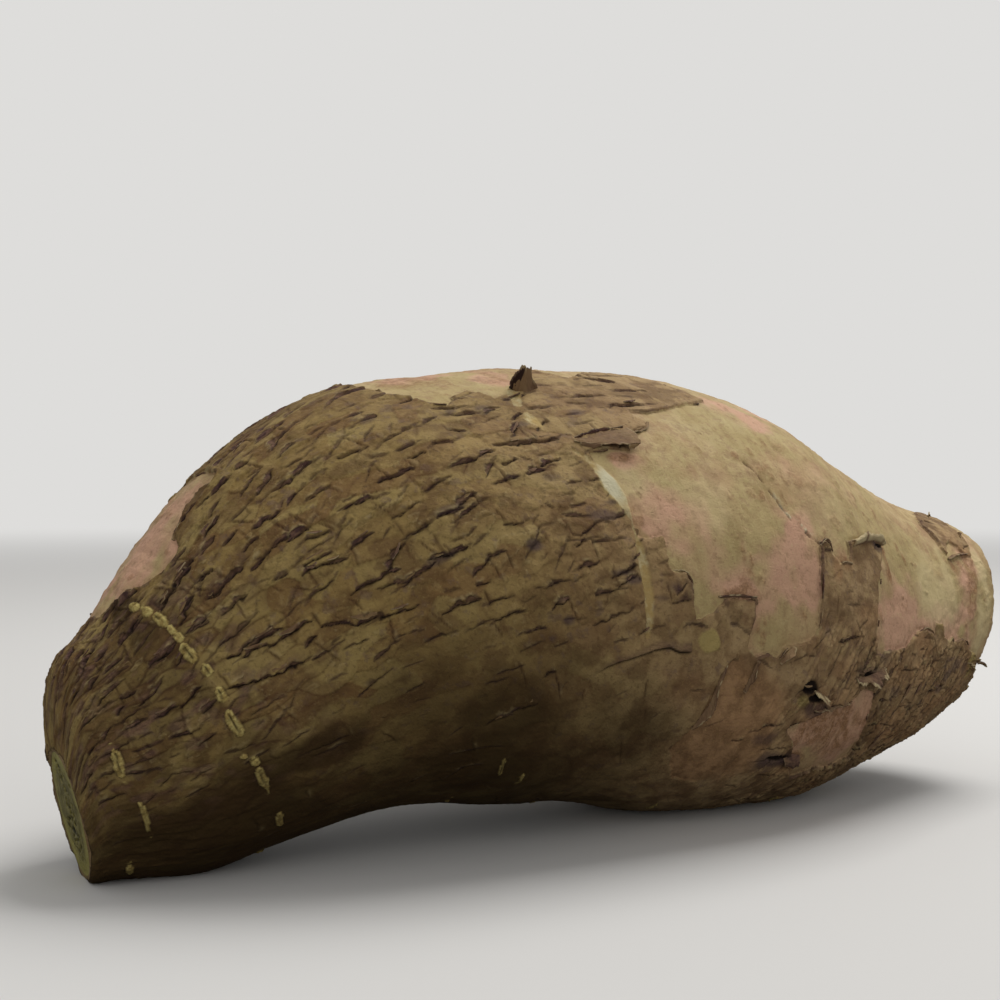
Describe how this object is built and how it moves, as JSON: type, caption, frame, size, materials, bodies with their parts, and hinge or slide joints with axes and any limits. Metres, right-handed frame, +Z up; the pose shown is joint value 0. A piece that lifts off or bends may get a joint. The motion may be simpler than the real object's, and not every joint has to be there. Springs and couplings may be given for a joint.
{
  "type": "cassava root",
  "caption": "Whole cassava root lying on its side, its brown scaly bark flaking off a smooth pale rind, with a cut neck and a short snapped tail.",
  "frame": {"origin": "on the supporting surface, under the middle of the root's bounding box", "axes": "+X along the root from the cut neck to the tail, +Z up, -Y the side that faces the viewer"},
  "size_m": [0.2292, 0.094, 0.0973],
  "materials": {
    "bark": "dry scaly brown bark, matte, cracked along the root into plates",
    "rind": "smooth cream to pink rind where the bark has flaked off, matte with a faint sheen",
    "flesh": "dry cut flesh at the neck and tail, pale cream with small dark fibre ends"
  },
  "bodies": {
    "root": {"cassava_root": "bark"}
  },
  "joints": []
}
